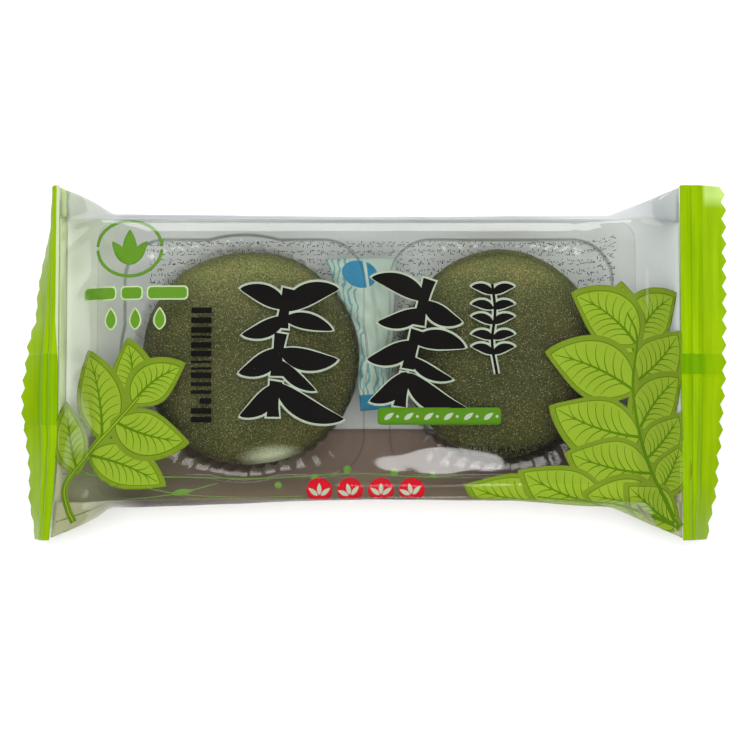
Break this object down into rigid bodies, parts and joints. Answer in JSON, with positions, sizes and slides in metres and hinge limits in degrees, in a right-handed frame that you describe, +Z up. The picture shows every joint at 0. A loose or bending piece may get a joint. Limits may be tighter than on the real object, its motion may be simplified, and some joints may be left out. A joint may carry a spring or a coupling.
{
  "type": "flow wrapped matcha mochi pack",
  "caption": "Sealed clear pillow pack of squat green mochi in a moulded tray, with green crimped zigzag ends and a fin seal along its back; lies flat on its back.",
  "frame": {"origin": "on the surface that the pack rests on, under the middle of its bounding box", "axes": "+X along the pack from its turned-down end to its flat end, +Y across it, +Z up out of the printed face"},
  "size_m": [0.14, 0.07, 0.0192],
  "materials": {
    "film": "clear glossy polypropylene film",
    "crimped_end": "glossy green film, heat crimped",
    "tray": "clear thermoformed sheet",
    "mochi": "soft green rice dough dusted with starch",
    "sachet": "pale printed sachet paper",
    "print": "glossy printed ink under film"
  },
  "bodies": {
    "root": {"flow_pack": "film"}
  },
  "joints": []
}
